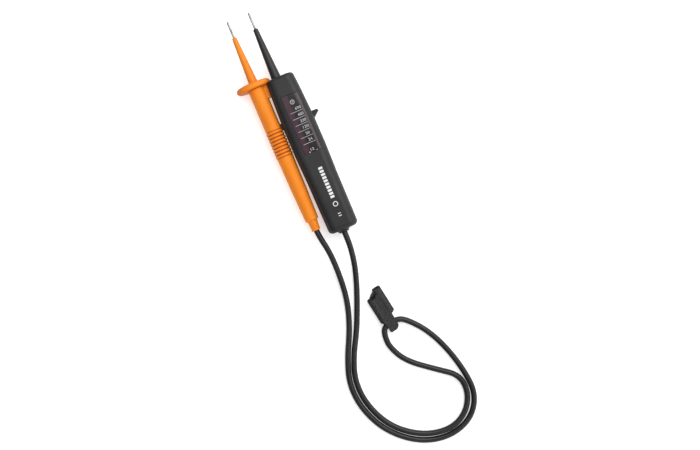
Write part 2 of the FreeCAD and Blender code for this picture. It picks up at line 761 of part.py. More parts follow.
def lance_resistor(place, top):
    """The protective resistor with its two leads, and the sleeving round it."""
    lead = cell("lead_radius")
    body = cell("resistor_body")
    low = cell("resistor_foot")
    high = cell("resistor_top")
    keep(turned("lance_resistor", [
        (0, cell("lead_foot")), (lead, cell("lead_foot")), (lead, low), (body, low),
        (body, high), (lead, high), (lead, top), (0, top),
    ], place))
    skin = body + cell("sleeve_skin")
    past = cell("sleeve_past")
    keep(turned("lance_resistor_sleeve", [
        (body, low - past), (skin, low - past), (skin, high + past), (body, high + past),
    ], place))


def lance_inside():
    """Steel tip, terminal, resistor, wire, and the cord's end with its ring and sleeve."""
    x = cell("lance_x")
    place = (x, 0, cell("mid_level"))
    jacket = cell("cord_radius")
    foot = cell("barrel_foot")
    low = cell("collar_low")
    cord_in = cell("lance_cord_in")
    keep(steel_tip("lance_test_tip", cell("lance_shank"), place))
    keep(tip_terminal("lance_tip_terminal", cell("lance_shank"), place))
    lance_resistor(place, cell("lance_shank") - cell("terminal_skin"))
    keep(axle("lance_inner_lead", cell("wire_radius"), x, cord_in, cell("lead_foot")))
    keep(axle("lance_cord_end", jacket, x, low, cord_in))
    ring_low = cell("crimp_low")
    ring_high = ring_low + cell("crimp_long")
    keep(turned("lance_crimp_ring", [
        (jacket, ring_low), (cell("crimp_radius"), ring_low), (cell("crimp_radius"), ring_high),
        (jacket, ring_high),
    ], place))
    edge = cell("collar_edge")
    plug = cell("foot_bore") - cell("slip")
    plug_top = foot + cell("collar_plug")
    keep(turned("lance_end_sleeve", [
        (jacket, low), (cell("collar_end") - edge, low), (cell("collar_end"), low + edge),
        (cell("collar_root"), foot), (plug, foot), (plug, plug_top), (jacket, plug_top),
    ], place))


# ---------------------------------------------------------------- tip cap

def cap_tail():
    """The cap's round-cornered tail, across which the cord's eye runs."""
    web = cell("cap_web") + cell("thin_gap")
    tail = block("cap_tail_block", (cell("cap_tail_left"), cell("cap_tail_right")),
                 (cell("cap_tail_low"), cell("cap_tail_high")), (-web, web))
    doc.recompute()
    rounded = doc.addObject("Part::Fillet", "cap_tail")
    rounded.Base = tail
    low = DIMENSIONS["cap_tail_low"]
    wide = DIMENSIONS["cap_tail_round"]
    tight = DIMENSIONS["cap_tail_edge"]
    edges = []
    for index, edge in enumerate(tail.Shape.Edges, start=1):
        box = edge.BoundBox
        if box.ZLength > 1 and abs(box.Center.y - low) < 0.01:
            radius = wide if box.Center.x > 0 else tight
            edges.append((index, radius, radius))
    rounded.Edges = edges
    return rounded


def cap_foot():
    """Sloped foot of the long tube."""
    cone = doc.addObject("Part::Cone", "cap_right_foot")
    bind(cone, "Radius1", cell("cap_tube") - cell("cap_foot_edge"))
    bind(cone, "Radius2", cell("cap_tube"))
    bind(cone, "Height", cell("cap_foot_slope"))
    cone.Placement = FreeCAD.Placement(V(0, 0, 0), ALONG_Y)
    return put(cone, cell("cap_spread"), cell("cap_right_low"), 0)


def cap_rod(name, radius, across, low, high):
    """A cylinder along the cap's tubes between two stations, in the cap's own place."""
    return rod(name, radius, high - low, (across, low, 0), ALONG_Y)


def cap_gusset():
    """Slanted plate underneath, from the short tube's mouth to that of the long one."""
    body = new_body("cap_gusset")
    low = cell("cap_left_high") - cell("gusset_overlap")
    high = cell("cap_right_high") - cell("cone_edge")
    outline = [
        (cell("gusset_left"), low), (cell("cap_spread"), low), (cell("cap_spread"), high),
        (cell("gusset_right"), high), (cell("gusset_left"), cell("cap_left_high") + LAP),
    ]
    thick = cell("gusset_thick")
    pad(body, polygon(new_sketch(body, "XY_Plane", -cell("cap_web")), outline), thick)
    return body


def cap_tools():
    """Two blind bores for the probe tips and the cross hole for the cord, wider at the left."""
    half = cell("eye_long") / 2
    depth = cell("cap_bore_depth")
    bore = cell("cap_bore")
    left_high = cell("cap_left_high")
    right_high = cell("cap_right_high")
    side = cell("cap_spread")
    return [
        cap_rod("cap_left_bore", bore, -side, left_high - depth, left_high + PAST),
        cap_rod("cap_right_bore", bore, side, right_high - depth, right_high + PAST),
        rod("cap_eye_hole", cell("cap_eye"), cell("eye_long"), (-half, 0, 0), ALONG_X),
        rod("cap_eye_mouth", cell("cap_eye_mouth"), half - cell("cap_eye_lip"), (-half, 0, 0),
            ALONG_X),
    ]


def tip_cap():
    """Two staggered tubes joined by a web, with a tail whose cross hole holds the cord."""
    side = cell("cap_spread")
    web = cell("cap_web")
    tube_radius = cell("cap_tube")
    left_low = cell("cap_left_low")
    left_high = cell("cap_left_high")
    right_low = cell("cap_right_low") + cell("cap_foot_slope")
    solid = fuse("cap_solid", [
        cap_tail(),
        cap_foot(),
        cap_rod("cap_left", tube_radius, -side, left_low, left_high),
        cap_rod("cap_right", tube_radius, side, right_low, cell("cap_right_high")),
        block("cap_middle", (-side, side), (left_low, left_high), (-web, web)),
        cap_gusset(),
    ])
    cap = keep(cut("tip_cap", solid, cap_tools()))
    turn = FreeCAD.Rotation(V(0, 0, 1), DIMENSIONS["cap_turn_deg"])
    cap.Placement = FreeCAD.Placement(V(0, 0, 0), turn)
    return put(cap, cell("cap_x"), cell("cap_y"), cell("cap_z"))


# ---------------------------------------------------------------- build and write

def build():
    fill_sheet()
    front_shell()
    rear_shell()
    display()
    board_parts()
    case_screws()
    main_nose()
    handle_cord_entry()
    lance_nose()
    lance_barrel()
    lance_inside()
    tip_cap()
    tube("cord", CORD_ROUTE, DIMENSIONS["cord_radius"])
    doc.recompute()


def check_all():
    """Stop if any object failed or any sub-part has no valid solid."""
    for thing in doc.Objects:
        if "Invalid" in thing.State or "Error" in thing.State:
            raise ValueError(thing.Name + " failed: " + str(thing.State))
    for thing in SUBPARTS:
        shape = thing.Shape
        if shape.isNull() or not shape.isValid() or not shape.Solids:
            raise ValueError(thing.Label + ": bad shape")


def write_all():
    """One STEP file for each sub-part, and its size for reading."""
    os.makedirs("parts", exist_ok=True)
    for thing in SUBPARTS:
        thing.Shape.exportStep("parts/%s.step" % thing.Label)
        box = thing.Shape.BoundBox
        spans = (box.XMin, box.XMax, box.YMin, box.YMax, box.ZMin, box.ZMax)
        print("%-24s volume %9.1f" % (thing.Label, thing.Shape.Volume),
              "x %7.2f %7.2f  y %7.2f %7.2f  z %6.2f %6.2f" % spans)


build()
check_all()
write_all()
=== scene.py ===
"""Looks of a two-pole voltage tester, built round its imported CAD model. Lengths are in metres."""
import bmesh
import bpy
import json
import math
from mathutils import Matrix, Vector, noise
from mathutils.bvhtree import BVHTree


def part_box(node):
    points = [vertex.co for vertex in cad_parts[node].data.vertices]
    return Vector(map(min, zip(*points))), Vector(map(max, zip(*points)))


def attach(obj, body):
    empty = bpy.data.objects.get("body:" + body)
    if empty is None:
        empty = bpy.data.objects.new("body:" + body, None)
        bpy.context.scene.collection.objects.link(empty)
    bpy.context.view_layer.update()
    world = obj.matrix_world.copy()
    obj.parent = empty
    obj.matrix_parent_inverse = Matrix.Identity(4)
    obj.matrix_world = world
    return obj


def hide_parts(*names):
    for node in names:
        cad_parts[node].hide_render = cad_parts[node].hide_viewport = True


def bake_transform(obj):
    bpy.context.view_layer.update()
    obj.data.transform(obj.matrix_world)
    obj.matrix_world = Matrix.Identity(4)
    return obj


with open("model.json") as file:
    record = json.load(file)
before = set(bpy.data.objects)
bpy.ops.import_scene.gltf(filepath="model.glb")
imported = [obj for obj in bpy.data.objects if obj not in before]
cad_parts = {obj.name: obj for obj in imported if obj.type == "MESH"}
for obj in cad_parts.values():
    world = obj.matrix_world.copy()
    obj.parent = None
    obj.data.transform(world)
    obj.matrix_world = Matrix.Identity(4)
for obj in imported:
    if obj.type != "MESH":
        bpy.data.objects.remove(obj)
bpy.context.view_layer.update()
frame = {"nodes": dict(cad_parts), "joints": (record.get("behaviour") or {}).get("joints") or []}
MM = 0.001


# ---------------------------------------------------------------- places read from the frame

def middle(node):
    low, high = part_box(node)
    return (low + high) / 2


HANDLE_X = middle("circuit_board").x
LANCE_X = middle("lance_test_tip").x
NOSE_X = middle("main_test_tip").x
MID_Z = middle("main_test_tip").z
TIP_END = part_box("main_test_tip")[1].y
HANDLE_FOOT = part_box("handle_rear_shell")[0].y
CAP_EYE = Vector(next(j["pos_m"] for j in frame["joints"] if j["name"] == "cap_swivel"))
CAP_TURN = math.radians(9)    # how far the cap lies turned from the handle's direction


# ---------------------------------------------------------------- camera, floor and light

CAMERA_PLACE = (0.0149, -0.0956, 0.952)
CAMERA_TURN = math.radians(-23.2)
CAMERA_LENS, CAMERA_SENSOR = 58.5, 36
FLOOR_HALF = 3.0
FLOOR_DARK, FLOOR_LIGHT = (0.93, 0.93, 0.93), (0.96, 0.96, 0.96)
FLOOR_DRIFT, FLOOR_GLOW = 6, 0.45
LAMP_TARGET = (0, -0.08, 0)
LAMPS = [
    # name, place, width, watts
    ("key", (0.38, 0.22, 0.86), 0.7, 4.6),
    ("fill", (-0.45, 0.20, 0.85), 0.6, 1.2),
]
SKY_RAMPS = [
    # heading, then the brightness along it: From Min, From Max, To Min, To Max
    ((0.92, -0.39, 0), (-0.8, 0.8, 0.10, 1.45)),
    ((0, 0, 1), (0.75, 0.99, 1.0, 0.62)),
]


def camera():
    data = bpy.data.cameras.new("camera")
    data.lens = CAMERA_LENS
    data.sensor_width = CAMERA_SENSOR
    data.clip_start = 0.01
    data.clip_end = 20
    shot = bpy.data.objects.new("camera", data)
    shot.location = CAMERA_PLACE
    shot.rotation_euler = (0, 0, CAMERA_TURN)
    bpy.context.scene.collection.objects.link(shot)
    bpy.context.scene.camera = shot


def floor():
    """A wide sheet of white paper that glows a little, as on a light table."""
    mesh = bpy.data.meshes.new("floor")
    half = FLOOR_HALF
    corners = [(-half, -half, 0), (half, -half, 0), (half, half, 0), (-half, half, 0)]
    mesh.from_pydata(corners, [], [(0, 1, 2, 3)])
    sheet = bpy.data.objects.new("floor", mesh)
    bpy.context.scene.collection.objects.link(sheet)
    look = Look("floor_paper")
    look.colour(FLOOR_DARK, FLOOR_LIGHT, look.noise(FLOOR_DRIFT, detail=2))
    look.set("Roughness", 0.9)
    look.set("Emission Color", (1, 1, 1, 1))
    look.set("Emission Strength", FLOOR_GLOW)
    sheet.data.materials.append(look.material)


def lamp(name, place, size, power):
    """A soft square lamp that faces the object."""
    data = bpy.data.lights.new(name, "AREA")
    data.shape = "RECTANGLE"
    data.size = data.size_y = size
    data.energy = power
    light = bpy.data.objects.new(name, data)
    light.location = place
    heading = Vector(LAMP_TARGET) - Vector(place)
    light.rotation_euler = heading.to_track_quat("-Z", "Y").to_euler()
    bpy.context.scene.collection.objects.link(light)


def sky():
    """A white tent, brighter on the photograph's right and darker straight above."""
    world = bpy.data.worlds.new("studio")
    world.use_nodes = True
    tree = world.node_tree
    place = tree.nodes.new("ShaderNodeTexCoord").outputs["Generated"]
    strengths = []
    for heading, limits in SKY_RAMPS:
        along = tree.nodes.new("ShaderNodeVectorMath")
        along.operation = "DOT_PRODUCT"
        along.inputs[1].default_value = heading
        level = tree.nodes.new("ShaderNodeMapRange")
        level.interpolation_type = "SMOOTHSTEP"
        for name, value in zip(("From Min", "From Max", "To Min", "To Max"), limits):
            level.inputs[name].default_value = value
        tree.links.new(place, along.inputs[0])
        tree.links.new(along.outputs["Value"], level.inputs["Value"])
        strengths.append(level.outputs["Result"])
    product = tree.nodes.new("ShaderNodeMath")
    product.operation = "MULTIPLY"
    tree.links.new(strengths[0], product.inputs[0])
    tree.links.new(strengths[1], product.inputs[1])
    background = tree.nodes["Background"]
    background.inputs["Color"].default_value = (1, 1, 1, 1)
    tree.links.new(product.outputs["Value"], background.inputs["Strength"])
    bpy.context.scene.world = world


def lights():
    sky()
    for name, place, size, power in LAMPS:
        lamp(name, place, size, power)
    bpy.context.scene.view_settings.view_transform = "Standard"


# ---------------------------------------------------------------- materials

NOISE_LOW, NOISE_HIGH = 0.3, 0.7    # where most of a noise's values lie
FLANK_RISE, TOP_RISE = 0.35, 0.9    # how far a normal looks up, on a flank and on the top
DRIFT = 55                          # noise scale of the slow change of colour over a part
GRAIN, GRAIN_DEPTH, GRAIN_STRENGTH = 2600, 0.03 * MM, 0.35
SCUFFS, SCUFF_SPREAD = (900, 90, 900), 0.06


class Look:
    """A material whose nodes are added and joined in single steps."""

    def __init__(self, name):
        self.material = bpy.data.materials.new(name)
        self.material.use_nodes = True
        self.tree = self.material.node_tree
        self.shader = self.tree.nodes["Principled BSDF"]
        self.place = self.add("ShaderNodeTexCoord").outputs["Object"]

    def add(self, kind, **inputs):
        node = self.tree.nodes.new(kind)
        for name, value in inputs.items():
            self.feed(node.inputs[name], value)
        return node

    def feed(self, socket, value):
        if isinstance(value, bpy.types.NodeSocket):
            self.tree.links.new(value, socket)
        else:
            socket.default_value = value

    def set(self, name, value):
        self.feed(self.shader.inputs[name], value)

    def stretched(self, scale):
        """The place in the object, scaled apart on each axis."""
        return self.add("ShaderNodeMapping", Vector=self.place, Scale=scale).outputs["Vector"]

    def noise(self, scale, detail=3, vector=None):
        node = self.add("ShaderNodeTexNoise", Scale=scale, Detail=detail,
                        Vector=vector or self.place)
        return node.outputs["Fac"]

    def span(self, source, low, high):
        """Map the usual range of a noise to low-high."""
        return self.add("ShaderNodeMapRange", **{
            "Value": source, "From Min": NOISE_LOW, "From Max": NOISE_HIGH, "To Min": low,
            "To Max": high}).outputs["Result"]

    def band(self, source, low, high):
        """Map a length between two limits to 0-1."""
        return self.add("ShaderNodeMapRange", **{
            "Value": source, "From Min": low, "From Max": high}).outputs["Result"]

    def product(self, first, second):
        node = self.add("ShaderNodeMath")
        node.operation = "MULTIPLY"
        self.feed(node.inputs[0], first)
        self.feed(node.inputs[1], second)
        return node.outputs["Value"]

    def vector(self, operation, first, second=None):
        """A sum or product of two vectors, or a number that is worked out from them."""
        node = self.add("ShaderNodeVectorMath")
        node.operation = operation
        self.feed(node.inputs[0], first)
        if second is not None:
            node.inputs[1].default_value = second
        number = operation in ("LENGTH", "DOT_PRODUCT")
        return node.outputs["Value" if number else "Vector"]

    def mix(self, factor, first, second):
        node = self.tree.nodes.new("ShaderNodeMix")
        node.data_type = "RGBA"
        self.feed(node.inputs["Factor"], factor)
        for socket, value in (("A", first), ("B", second)):
            target = [s for s in node.inputs if s.name == socket and s.type == "RGBA"][0]
            self.feed(target, value if isinstance(value, bpy.types.NodeSocket) else (*value, 1))
        return [s for s in node.outputs if s.type == "RGBA"][0]

    def colour(self, first, second, factor):
        mixed = self.mix(self.span(factor, 0, 1), first, second)
        self.set("Base Color", mixed)
        return mixed

    def upward(self):
        """0 on the flanks and 1 on faces that look up, in the object's own frame; the mask for
        painted shade on the flanks.
        """
        normal = self.add("ShaderNodeTexCoord").outputs["Normal"]
        rise = self.add("ShaderNodeSeparateXYZ", Vector=normal).outputs["Z"]
        return self.band(rise, FLANK_RISE, TOP_RISE)

    def bump(self, height, strength, distance):
        node = self.add("ShaderNodeBump", Height=height, Strength=strength, Distance=distance)
        self.set("Normal", node.outputs["Normal"])


def skin(look, rough, shine, grain=GRAIN, depth=GRAIN_DEPTH):
    """The surface of moulded plastic: spark-eroded grain and faint scuffs along the part."""
    fine = look.noise(grain, detail=2)
    streaks = look.noise(1, detail=4, vector=look.stretched(SCUFFS))
    look.set("Roughness", look.span(streaks, rough - SCUFF_SPREAD, rough + SCUFF_SPREAD))
    look.set("Specular IOR Level", shine)
    look.bump(fine, GRAIN_STRENGTH, depth)


def moulded(name, dark, light, rough, grain=GRAIN, depth=GRAIN_DEPTH, shine=0.35, flank_shade=None):
    """Moulded plastic with a slow colour drift and, if one is given, a darker colour painted on the
    flanks as shade.
    """
    look = Look(name)
    tone = look.colour(dark, light, look.noise(DRIFT))
    if flank_shade:
        # painted shade: faces that turn away from the top take the darker flank colour
        look.set("Base Color", look.mix(look.upward(), flank_shade, tone))
    skin(look, rough, shine, grain, depth)
    return look.material


GROOVE_SHADE_START, GROOVE_SHADE_FULL = 7.15 * MM, 6.7 * MM    # distances from the barrel's axis where the painted groove shade starts and where it is full
GRIP_FOOT_FADE = (-23.6 * MM, -22.8 * MM)
GRIP_HEAD_FADE = (1.2 * MM, 0.2 * MM)
# painted shade: a dark red-brown laid into the grip's grooves, where shade falls
GROOVE_SHADE = (0.42, 0.075, 0.004)


def grip_look():
    """The orange plastic again, with painted shade down in the grooves of the grip."""
    look = Look("orange_grip")
    unshaded = look.mix(look.span(look.noise(DRIFT), 0, 1), ORANGE_DARK, ORANGE_LIGHT)
    from_axis = look.vector("ADD", look.place, (-LANCE_X, 0, -MID_Z))
    reach = look.vector("LENGTH", look.vector("MULTIPLY", from_axis, (1, 0, 1)))
    groove_shade_mask = look.band(reach, GROOVE_SHADE_START, GROOVE_SHADE_FULL)
    along = look.add("ShaderNodeSeparateXYZ", Vector=look.place).outputs["Y"]
    for low, high in (GRIP_FOOT_FADE, GRIP_HEAD_FADE):
        groove_shade_mask = look.product(groove_shade_mask, look.band(along, low, high))
    # painted shade in the grooves, faded out above and below the rings
    look.set("Base Color", look.mix(groove_shade_mask, unshaded, GROOVE_SHADE))
    skin(look, ORANGE_ROUGH, ORANGE_SHINE)
    return look.material


LENS_RED, LENS_BLACK = (0.050, 0.022, 0.034, 1), (0.013, 0.008, 0.010, 1)
LENS_LEFT, LENS_RIGHT = 4 * MM, 20 * MM
LENS_STOPS = (0.26, 0.40, 0.80, 0.95)    # red up to the first, black between the middle two
LENS_SMOKE, LENS_DRIFT = 700, 1.2 * MM
LENS_ROUGH, LENS_SHINE = (0.16, 0.26), 0.35
LENS_RIPPLE, LENS_RIPPLE_STRENGTH, LENS_RIPPLE_DEPTH = 1800, 0.15, 0.01 * MM
WEAR = 300                    # noise scale of uneven roughness


def window_look():
    """Smoked lens: near-black over the number column, dark red on either side of it."""
    look = Look("window_lens")
    split = look.add("ShaderNodeSeparateXYZ", Vector=look.place)
    across = look.add("ShaderNodeMath")
    across.operation = "MULTIPLY_ADD"
    terms = (look.noise(LENS_SMOKE), LENS_DRIFT, split.outputs["X"])
    for socket, value in zip(across.inputs, terms):
        look.feed(socket, value)
    share = look.band(across.outputs["Value"], LENS_LEFT, LENS_RIGHT)
    column = look.add("ShaderNodeValToRGB", Fac=share)
    ramp = column.color_ramp
    for element, place in zip(ramp.elements, (LENS_STOPS[0], LENS_STOPS[3])):
        element.color = LENS_RED
        element.position = place
    for place in LENS_STOPS[1:3]:
        ramp.elements.new(place).color = LENS_BLACK
    look.set("Base Color", column.outputs["Color"])
    look.set("Roughness", look.span(look.noise(WEAR), *LENS_ROUGH))
    look.set("Specular IOR Level", LENS_SHINE)
    look.bump(look.noise(LENS_RIPPLE, detail=2), LENS_RIPPLE_STRENGTH, LENS_RIPPLE_DEPTH)
    return look.material


def grey(level):
    return (level, level, level)


SHADE = grey(0.0015)
# the third grey is painted light, laid on the shaded plate between the two mouths
CAP_DARK, CAP_LIGHT, CAP_PLATE_PAINTED_LIGHT = grey(0.016), grey(0.052), grey(0.11)
CAP_MOTTLE, CAP_ROUGH, CAP_SHINE = 800, (0.48, 0.62), 0.16
CAP_GRAIN, CAP_GRAIN_DEPTH = 1100, 0.25 * MM
PLATE_ALONG = (26.8 * MM, 27.6 * MM)    # where the plate starts, from the eye towards the mouths
PLATE_ACROSS = (0.9 * MM, 0.2 * MM)     # where it ends, beside the longer tube


def cap_look():
    """Coarse soft vinyl, with painted shade on its flanks and a painted lighter patch on the thin
    plate between the two mouths, which lies in shade.
    """
    look = Look("cap_vinyl")
    tone = look.colour(CAP_DARK, CAP_LIGHT, look.noise(CAP_MOTTLE))
    # painted shade: the cap's flanks turn near-black
    tone = look.mix(look.upward(), SHADE, tone)
    turn = Matrix.Rotation(CAP_TURN, 3, "Z")
    shares = []
    for axis, (low, high) in ((1, PLATE_ALONG), (0, PLATE_ACROSS)):
        heading = Vector(turn.col[axis])
        along = look.vector("DOT_PRODUCT", look.place, heading)
        eye = heading.dot(CAP_EYE)
        shares.append(look.band(along, eye + low, eye + high))
    # painted light: the plate between the two mouths, which lies in shade, is coloured lighter
    look.set("Base Color", look.mix(look.product(*shares), tone, CAP_PLATE_PAINTED_LIGHT))
    look.set("Roughness", look.span(look.noise(WEAR), *CAP_ROUGH))
    look.set("Specular IOR Level", CAP_SHINE)
    look.bump(look.noise(CAP_GRAIN, detail=2), GRAIN_STRENGTH, CAP_GRAIN_DEPTH)
    return look.material


TURNED = (60, 9000, 60)
TURNED_SMOOTHER, TURNED_ROUGHER = 0.06, 0.08
TURNED_STRENGTH, TURNED_DEPTH = 0.2, 0.01 * MM
TARNISH = 260


def metal(name, dark, light, rough):
    """Turned metal: fine rings round the part and soft tarnish."""
    look = Look(name)
    look.colour(dark, light, look.noise(TARNISH, detail=4))
    look.set("Metallic", 1.0)
    rings = look.noise(1, detail=2, vector=look.stretched(TURNED))
    look.set("Roughness", look.span(rings, rough - TURNED_SMOOTHER, rough + TURNED_ROUGHER))
    look.bump(rings, TURNED_STRENGTH, TURNED_DEPTH)
    return look.material


ORANGE_DARK, ORANGE_LIGHT = (0.84, 0.225, 0.010), (0.90, 0.255, 0.013)
# painted shade: a darker orange for the guard's flanks and underside
ORANGE_FLANK_SHADE = (0.56, 0.14, 0.006)
ORANGE_ROUGH, ORANGE_SHINE = 0.50, 0.25
INK_GRAIN, INK_GRAIN_DEPTH = 4000, 0.01 * MM
CORD_GRAIN = 3400
LOOKS = {
    "handle": lambda: moulded("handle_plastic", grey(0.011), grey(0.017), 0.44, flank_shade=SHADE),
    "orange": lambda: moulded("orange_plastic", ORANGE_DARK, ORANGE_LIGHT, ORANGE_ROUGH,
                              shine=ORANGE_SHINE),
    "grip": grip_look,
    "guard": lambda: moulded("orange_guard", ORANGE_DARK, ORANGE_LIGHT, ORANGE_ROUGH,
                             shine=ORANGE_SHINE, flank_shade=ORANGE_FLANK_SHADE),
    "nose": lambda: moulded("nose_plastic", grey(0.012), grey(0.018), 0.36, flank_shade=SHADE),
    "lens": window_look,
    "film": lambda: moulded("printed_film", (0.03, 0.02, 0.02), (0.05, 0.03, 0.03), 0.5),
    "black": lambda: moulded("black_plastic", grey(0.010), grey(0.020), 0.5),
    "lamp": lambda: moulded("red_lamp", (0.55, 0.02, 0.02), (0.7, 0.05, 0.04), 0.2),
    "board": lambda: moulded("board_laminate", (0.02, 0.11, 0.05), (0.03, 0.16, 0.07), 0.4),
    "lacquer": lambda: moulded("blue_lacquer", (0.12, 0.22, 0.36), (0.18, 0.3, 0.45), 0.3),
    "disc": lambda: moulded("disc_lacquer", (0.5, 0.26, 0.05), (0.62, 0.34, 0.08), 0.35),
    "wire": lambda: moulded("wire_insulation", (0.35, 0.02, 0.02), (0.5, 0.04, 0.03), 0.4),
    "cord": lambda: moulded("cord_rubber", grey(0.008), grey(0.018), 0.30, CORD_GRAIN,
                            flank_shade=SHADE),
    "cap": cap_look,
    "steel": lambda: metal("nickel_steel", grey(0.21), grey(0.38), 0.36),
    "brass": lambda: metal("brass", (0.6, 0.42, 0.16), (0.8, 0.6, 0.28), 0.3),
    "ink": lambda: moulded("white_ink", grey(0.62), grey(0.82), 0.5, INK_GRAIN,
                           INK_GRAIN_DEPTH),
    "print": lambda: moulded("scale_ink", grey(0.36), grey(0.52), 0.5, INK_GRAIN,
                             INK_GRAIN_DEPTH),
    "zinc": lambda: metal("zinc_screw", grey(0.38), (0.55, 0.55, 0.54), 0.35),
    "seam": lambda: moulded("seam_shadow", grey(0.008), grey(0.014), 0.7),
}
NODE_LOOKS = {
    "handle": ("handle_front_shell", "handle_rear_shell"),
    "guard": ("lance_nose",),
    "orange": ("lance_barrel", "lance_end_sleeve"),
    "nose": ("nose_sleeve", "handle_gland"),
    "lens": ("display_window",),
    "film": ("scale_film",),
    "black": ("light_guide", "control_chip", "cord_clamp", "lance_resistor_sleeve"),
    "lamp": ("indicator_leds",),
    "board": ("circuit_board",),
    "lacquer": ("series_resistors", "lance_resistor"),
    "disc": ("load_thermistor",),
    "wire": ("main_tip_lead", "handle_inner_lead", "lance_inner_lead"),
    "cord": ("handle_cord_end", "lance_cord_end", "cord"),
    "cap": ("tip_cap",),
    "steel": ("main_test_tip", "lance_test_tip"),
    "brass": ("main_tip_terminal", "lance_tip_terminal", "lance_crimp_ring"),
    "zinc": ("case_screws",),
}


def dress_nodes():
    """Give every CAD node its material."""
    for look, names in NODE_LOOKS.items():
        for name in names:
            node = frame["nodes"][name]
            node.data.materials.clear()
            node.data.materials.append(MATERIALS[look])


# ---------------------------------------------------------------- cord

CORD_DIAMETER = 4.9 * MM
CORD_STEPS, CORD_SIDES = 24, 20    # steps of the line between two route points, and its sides
CORD_ROUTE = [
    (0.0085, -0.0990, 0.0120), (0.0085, -0.1060, 0.0120), (0.0078, -0.1150, 0.0110),
    (0.0054, -0.1280, 0.0066), (0.0010, -0.1420, 0.0028), (-0.0062, -0.1600, 0.0025),
    (-0.0147, -0.1790, 0.0025), (-0.0254, -0.1973, 0.0025), (-0.0327, -0.2170, 0.0025),
    (-0.0313, -0.2400, 0.0025), (-0.0197, -0.2642, 0.0025), (0.0018, -0.2808, 0.0025),
    (0.0249, -0.2854, 0.0025), (0.0420, -0.2778, 0.0025), (0.0510, -0.2620, 0.0025),
    (0.0492, -0.2461, 0.0025), (0.0336, -0.2345, 0.0025), (0.0133, -0.2183, 0.0025),
    (0.0054, -0.2030, 0.0027), (0.0050, -0.1932, 0.0035), (0.0073, -0.1848, 0.0039),
    (0.0208, -0.1827, 0.0039), (0.0283, -0.1878, 0.0031), (0.0399, -0.2021, 0.0025),
    (0.0490, -0.2222, 0.0025), (0.0550, -0.2464, 0.0025), (0.0558, -0.2668, 0.0025),
    (0.0442, -0.2838, 0.0025), (0.0220, -0.2907, 0.0025), (-0.0028, -0.2847, 0.0025),
    (-0.0247, -0.2660, 0.0025), (-0.0363, -0.2417, 0.0025), (-0.0382, -0.2180, 0.0025),
    (-0.0308, -0.1968, 0.0025), (-0.0199, -0.1760, 0.0025), (-0.0122, -0.1540, 0.0027),
    (-0.0096, -0.1320, 0.0054), (-0.0093, -0.1105, 0.0107), (-0.0123, -0.0936, 0.0120),
    (-0.0123, -0.0888, 0.0120),
]


def route_line():
    """The cord's middle line: points read from one smooth spline through the route."""
    curve = bpy.data.curves.new("cord_route", "CURVE")
    curve.dimensions = "3D"
    curve.resolution_u = CORD_STEPS
    spline = curve.splines.new("NURBS")
    spline.points.add(len(CORD_ROUTE) - 1)
    for point, spot in zip(spline.points, CORD_ROUTE):
        point.co = (*spot, 1)
    spline.order_u = 3
    spline.use_endpoint_u = True
    holder = bpy.data.objects.new("cord_route", curve)
    bpy.context.scene.collection.objects.link(holder)
    mesh = bpy.data.meshes.new_from_object(holder)
    line = [vertex.co.copy() for vertex in mesh.vertices]
    bpy.data.objects.remove(holder)
    bpy.data.meshes.remove(mesh)
    return line


def frames_along(line):
    """A heading and a side direction at each point, turning as little as possible."""
    frames = []
    side = Vector((0, 0, 1))
    for index, point in enumerate(line):
        before = line[max(index - 1, 0)]
        after = line[min(index + 1, len(line) - 1)]
        heading = (after - before).normalized()
        side = (side - heading * side.dot(heading)).normalized()
        frames.append((heading, side))
    return frames


def tube_along(name, line, radius):
    """A closed round tube along a line."""
    bm = bmesh.new()
    rings = []
    for point, (heading, side) in zip(line, frames_along(line)):
        across = heading.cross(side)
        ring = []
        for index in range(CORD_SIDES):
            angle = math.tau * index / CORD_SIDES
            spot = point + (side * math.cos(angle) + across * math.sin(angle)) * radius
            ring.append(bm.verts.new(spot))
        rings.append(ring)
    for first, second in zip(rings, rings[1:]):
        for index in range(CORD_SIDES):
            after = (index + 1) % CORD_SIDES
            bm.faces.new((first[index], first[after], second[after], second[index]))
    bm.faces.new(rings[0][::-1])
    bm.faces.new(rings[-1])
    return finish_mesh(name, bm)


def finish_mesh(name, bm, smooth=True):
    """Turn a bmesh into an object in the scene."""
    bmesh.ops.recalc_face_normals(bm, faces=bm.faces)
    mesh = bpy.data.meshes.new(name)
    bm.to_mesh(mesh)
    bm.free()
    for face in mesh.polygons:
        face.use_smooth = smooth
    thing = bpy.data.objects.new(name, mesh)
    bpy.context.scene.collection.objects.link(thing)
    return thing


def cord():
    """The cord from the gland to the second probe, one tube curving along a fixed route."""
    line = route_line()
    jacket = tube_along("joining_cord", line, CORD_DIAMETER / 2)
    jacket.data.materials.append(MATERIALS["cord"])
    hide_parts("cord")
    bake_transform(jacket)


# ---------------------------------------------------------------- mesh helpers

def join_rings(bm, first, second):
    """Faces between two rings, either of which may be a single point."""
    count = max(len(first), len(second))
    for index in range(count):
        after = (index + 1) % count
        if len(first) == 1:
            bm.faces.new((first[0], second[after], second[index]))
        elif len(second) == 1:
            bm.faces.new((first[index], first[after], second[0]))
        else:
            bm.faces.new((first[index], first[after], second[after], second[index]))


AXIS_RADIUS = 1e-7            # a profile point closer than this lies on the axis


def lathe(name, profile, x, z, sides, closed=False):
    """Turn (radius, y) pairs about a line along Y through x, z."""
    bm = bmesh.new()
    rings = []
    for radius, y in profile:
        if radius < AXIS_RADIUS:
            rings.append([bm.verts.new((x, y, z))])
            continue
        ring = []
        for index in range(sides):
            angle = math.tau * index / sides
            spot = (x + radius * math.cos(angle), y, z + radius * math.sin(angle))
            ring.append(bm.verts.new(spot))
        rings.append(ring)
    for first, second in zip(rings, rings[1:]):
        join_rings(bm, first, second)
    if closed:
        join_rings(bm, rings[-1], rings[0])
    return weighted(finish_mesh(name, bm))


